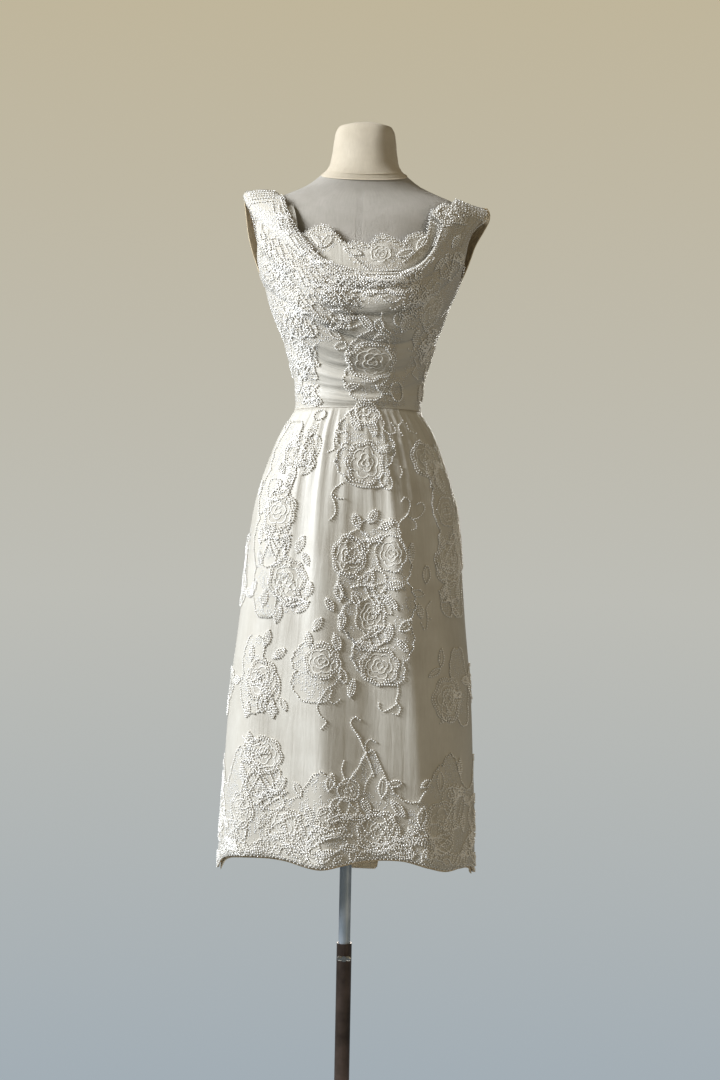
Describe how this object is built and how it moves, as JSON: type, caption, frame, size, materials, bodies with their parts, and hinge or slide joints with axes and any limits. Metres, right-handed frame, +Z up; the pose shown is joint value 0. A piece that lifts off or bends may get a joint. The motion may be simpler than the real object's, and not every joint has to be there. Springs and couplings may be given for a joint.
{
  "type": "prom dress on a dress form",
  "caption": "Sleeveless knee-length sheath dress of silk and beaded lace with a draped cowl front, on a limbless dress form with a pole stand.",
  "frame": {"origin": "centre of the base's underside, on the pole's axis, on the floor", "axes": "+Z up along the pole, -Y out of the dress's front, +X towards its wearer's left"},
  "size_m": [0.4452, 0.38, 1.801],
  "materials": {
    "silk": "sheer silk over a cream lining, soft sheen",
    "lace": "corded and beaded lace, matt with pearly beads",
    "lining": "plain beige taffeta lining",
    "linen": "off-white woven linen cover",
    "steel": "bright drawn steel",
    "bronze": "dark bronze lacquer on steel"
  },
  "bodies": {
    "stand": {"base": "bronze", "tube": "bronze"},
    "rod": {"rod": "steel"},
    "figure": {"dress_form": "linen", "form_flange": "steel", "bodice_front": "silk", "bodice_back": "silk", "neck_yoke": "lace", "skirt_front": "silk", "skirt_back": "silk", "hem_lining_front": "lining", "hem_lining_back": "lining", "hem_lace_front": "lace", "hem_lace_back": "lace", "lace_bodice_middle": "lace", "lace_front_waist": "lace", "lace_front_centre": "lace", "lace_front_hip_right": "lace", "lace_front_low_right": "lace", "lace_front_low_middle": "lace", "lace_front_hip_left": "lace", "lace_front_low_left": "lace", "lace_back_waist": "lace", "lace_back_centre": "lace", "lace_back_hip_right": "lace", "lace_back_hip_left": "lace"},
    "wing_screw": {"wing_screw": "steel"}
  },
  "joints": [
    {"name": "height_slide", "type": "slide", "parent": "stand", "child": "rod", "axis": [0, 0, 1], "range_m": [-0.22, 0.06]},
    {"name": "form_swivel", "type": "hinge", "parent": "rod", "child": "figure", "pos_m": [0, 0, 1], "axis": [0, 0, 1], "continuous": true},
    {"name": "screw_turn", "type": "hinge", "parent": "stand", "child": "wing_screw", "pos_m": [0, -0.0205, 0.388], "axis": [0, -1, 0], "range_deg": [-450, 30]}
  ]
}
